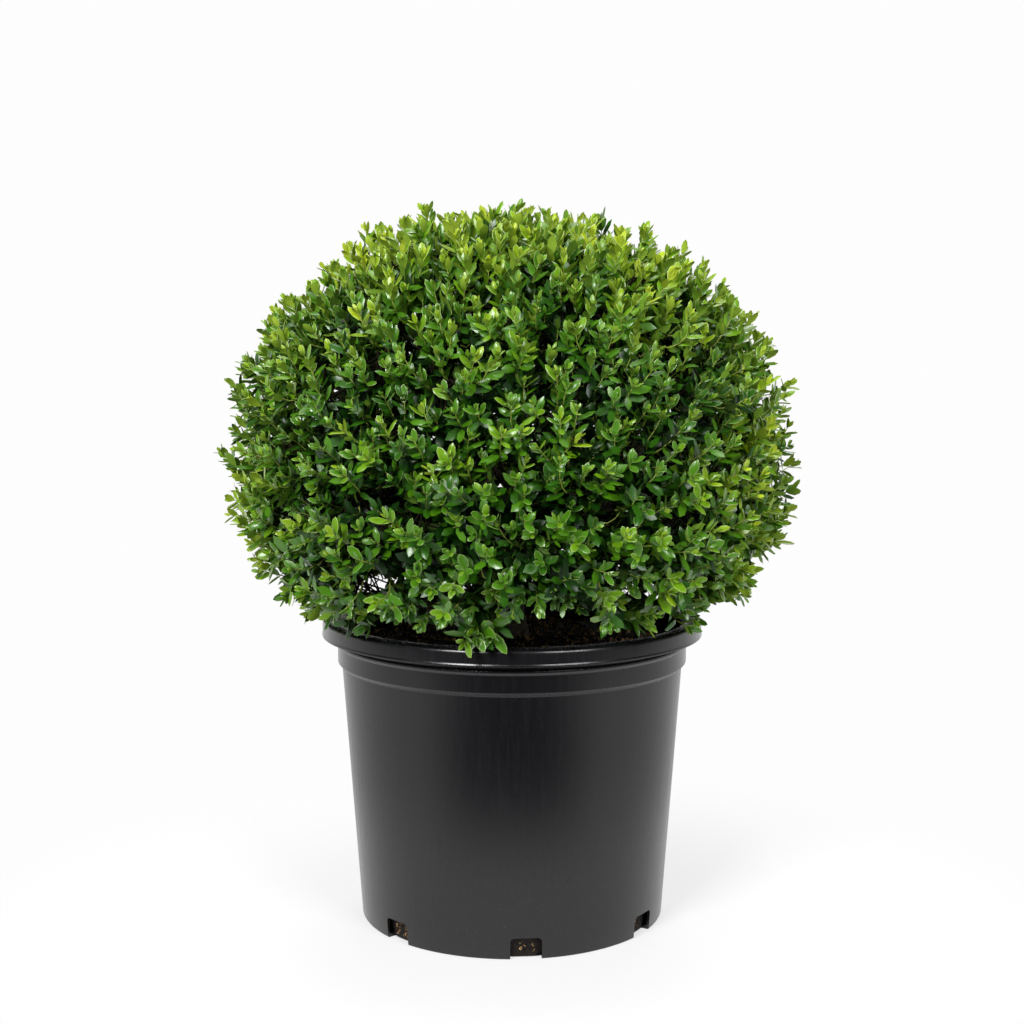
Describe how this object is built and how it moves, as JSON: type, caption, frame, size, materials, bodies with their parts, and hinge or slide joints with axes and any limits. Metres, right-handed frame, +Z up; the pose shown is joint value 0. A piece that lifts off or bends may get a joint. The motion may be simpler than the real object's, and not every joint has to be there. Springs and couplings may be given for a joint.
{
  "type": "potted holly shrub",
  "caption": "Dwarf yaupon holly clipped to a dense globe of small glossy leaves on a short branching trunk, growing in a tapered black nursery pot with a rolled lip and drainage notches.",
  "frame": {"origin": "on the ground under the middle of the pot, which is also the middle of the crown", "axes": "+Z up along the pot's axis; the picture looks along +Y, so -Y faces the camera and +X is to the right"},
  "size_m": [0.4151, 0.4148, 0.5228],
  "materials": {
    "pot": "satin moulded black polyethylene",
    "potting_mix": "moist composted bark mix",
    "bark": "thin grey-brown bark",
    "foliage": "glossy evergreen leaves"
  },
  "bodies": {
    "root": {"pot": "pot", "potting_mix": "potting_mix", "trunk": "bark", "bough_upper_1": "bark", "bough_upper_2": "bark", "bough_upper_3": "bark", "bough_upper_4": "bark", "bough_upper_5": "bark", "bough_side_1": "bark", "bough_side_2": "bark", "bough_side_3": "bark", "bough_side_4": "bark", "bough_side_5": "bark", "bough_side_6": "bark", "bough_side_7": "bark", "bough_side_8": "bark", "foliage_top": "foliage", "foliage_upper_1": "foliage", "foliage_upper_2": "foliage", "foliage_upper_3": "foliage", "foliage_upper_4": "foliage", "foliage_upper_5": "foliage", "foliage_side_1": "foliage", "foliage_side_2": "foliage", "foliage_side_3": "foliage", "foliage_side_4": "foliage", "foliage_side_5": "foliage", "foliage_side_6": "foliage", "foliage_side_7": "foliage", "foliage_side_8": "foliage"}
  },
  "joints": []
}
